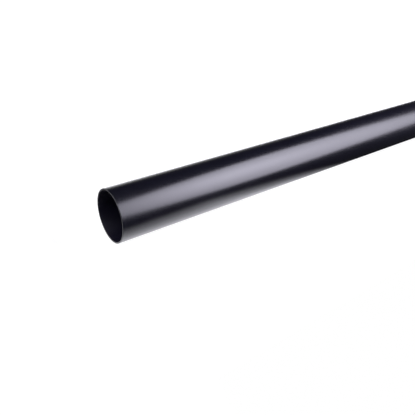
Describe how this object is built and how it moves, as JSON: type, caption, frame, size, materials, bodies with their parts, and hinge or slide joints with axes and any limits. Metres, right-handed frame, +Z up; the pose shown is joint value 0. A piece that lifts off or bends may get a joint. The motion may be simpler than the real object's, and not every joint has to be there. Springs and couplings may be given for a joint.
{
  "type": "downpipe",
  "caption": "Plain-ended round rainwater downpipe, a straight black rigid PVC tube, open at both ends, that carries roof water down a wall.",
  "frame": {"origin": "on the floor under the middle of the pipe's length", "axes": "+X along the pipe's axis, with the end that the picture shows at -X; +Z up, so that the pipe lies on its side"},
  "size_m": [2.5, 0.068, 0.068],
  "materials": {
    "black_pvc": "satin"
  },
  "bodies": {
    "root": {"downpipe": "black_pvc"}
  },
  "joints": []
}
